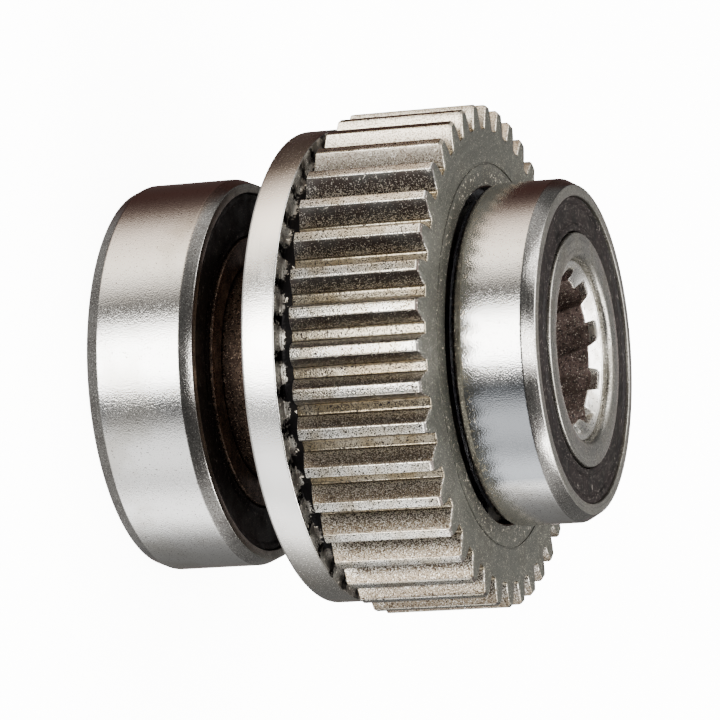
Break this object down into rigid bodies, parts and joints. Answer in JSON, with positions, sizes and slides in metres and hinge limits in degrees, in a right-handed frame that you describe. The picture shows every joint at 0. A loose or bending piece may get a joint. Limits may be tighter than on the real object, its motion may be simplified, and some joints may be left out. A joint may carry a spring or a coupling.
{
  "type": "starter drive",
  "caption": "Starter reduction gear on a roller one-way clutch, with a helically splined sleeve and a sealed ball bearing at each end.",
  "frame": {"origin": "on the shaft axis, at the outer end face of the large bearing, which the part stands on", "axes": "+Z along the shaft axis, from the large bearing to the small bearing; a gear tooth is centred on -Y"},
  "size_m": [0.069, 0.069, 0.0624],
  "materials": {
    "hobbed_steel": "hobbed and heat-treated, oily",
    "ground_ring_steel": "ground",
    "inner_ring_steel": "ground, dulled",
    "ball_steel": "polished",
    "cage_steel": "pressed sheet",
    "seal_rubber": "moulded",
    "sleeve_steel": "broached, oily",
    "bush_bronze": "sintered",
    "plate_steel": "stamped, phosphated",
    "spring_steel": "oil-tempered"
  },
  "bodies": {
    "gear_body": {"drive_gear": "hobbed_steel", "cover_plate": "plate_steel", "retaining_ring": "spring_steel", "sleeve_bush": "bush_bronze", "thrust_washer": "bush_bronze", "large_inner_ring": "inner_ring_steel", "spring_1": "spring_steel", "spring_2": "spring_steel", "spring_3": "spring_steel", "spring_4": "spring_steel", "spring_5": "spring_steel"},
    "sleeve": {"splined_sleeve": "sleeve_steel", "small_inner_ring": "inner_ring_steel"},
    "large_outer": {"large_outer_ring": "ground_ring_steel", "large_seal_end": "seal_rubber", "large_seal_gear": "seal_rubber"},
    "large_ball_set": {"large_balls": "ball_steel", "large_cage_lower": "cage_steel", "large_cage_upper": "cage_steel", "large_cage_rivets": "cage_steel"},
    "small_outer": {"small_outer_ring": "ground_ring_steel", "small_seal_gear": "seal_rubber", "small_seal_end": "seal_rubber"},
    "small_ball_set": {"small_balls": "ball_steel", "small_cage_lower": "cage_steel", "small_cage_upper": "cage_steel", "small_cage_rivets": "cage_steel"},
    "roller_set_1": {"roller_1": "ball_steel", "plunger_1": "plate_steel"},
    "roller_set_2": {"roller_2": "ball_steel", "plunger_2": "plate_steel"},
    "roller_set_3": {"roller_3": "ball_steel", "plunger_3": "plate_steel"},
    "roller_set_4": {"roller_4": "ball_steel", "plunger_4": "plate_steel"},
    "roller_set_5": {"roller_5": "ball_steel", "plunger_5": "plate_steel"}
  },
  "joints": [
    {"name": "overrun", "type": "hinge", "parent": "gear_body", "child": "sleeve", "pos_m": [0, 0, 0.04], "axis": [0, 0, 1], "continuous": true},
    {"name": "large_bearing_turn", "type": "hinge", "parent": "gear_body", "child": "large_outer", "pos_m": [0, 0, 0.0077], "axis": [0, 0, 1], "continuous": true},
    {"name": "large_cage_turn", "type": "hinge", "parent": "gear_body", "child": "large_ball_set", "pos_m": [0, 0, 0.0077], "axis": [0, 0, 1], "continuous": true},
    {"name": "small_bearing_turn", "type": "hinge", "parent": "sleeve", "child": "small_outer", "pos_m": [0, 0, 0.05645], "axis": [0, 0, 1], "continuous": true},
    {"name": "small_cage_turn", "type": "hinge", "parent": "sleeve", "child": "small_ball_set", "pos_m": [0, 0, 0.05645], "axis": [0, 0, 1], "continuous": true},
    {"name": "roller_1_slide", "type": "slide", "parent": "gear_body", "child": "roller_set_1", "axis": [-0.342, 0.9397, 0], "range_m": [0, 0.0006], "stiffness_N_per_m": 300, "springref_m": -0.004},
    {"name": "roller_2_slide", "type": "slide", "parent": "gear_body", "child": "roller_set_2", "axis": [-0.9994, -0.0349, 0], "range_m": [0, 0.0006], "stiffness_N_per_m": 300, "springref_m": -0.004},
    {"name": "roller_3_slide", "type": "slide", "parent": "gear_body", "child": "roller_set_3", "axis": [-0.2756, -0.9613, 0], "range_m": [0, 0.0006], "stiffness_N_per_m": 300, "springref_m": -0.004},
    {"name": "roller_4_slide", "type": "slide", "parent": "gear_body", "child": "roller_set_4", "axis": [0.829, -0.5592, 0], "range_m": [0, 0.0006], "stiffness_N_per_m": 300, "springref_m": -0.004},
    {"name": "roller_5_slide", "type": "slide", "parent": "gear_body", "child": "roller_set_5", "axis": [0.788, 0.6157, 0], "range_m": [0, 0.0006], "stiffness_N_per_m": 300, "springref_m": -0.004}
  ],
  "couplings": [
    {"joint": "large_cage_turn", "follows": "large_bearing_turn", "ratio": 0.585},
    {"joint": "small_cage_turn", "follows": "small_bearing_turn", "ratio": 0.5936},
    {"joint": "roller_2_slide", "follows": "roller_1_slide", "ratio": 1},
    {"joint": "roller_3_slide", "follows": "roller_1_slide", "ratio": 1},
    {"joint": "roller_4_slide", "follows": "roller_1_slide", "ratio": 1},
    {"joint": "roller_5_slide", "follows": "roller_1_slide", "ratio": 1}
  ]
}
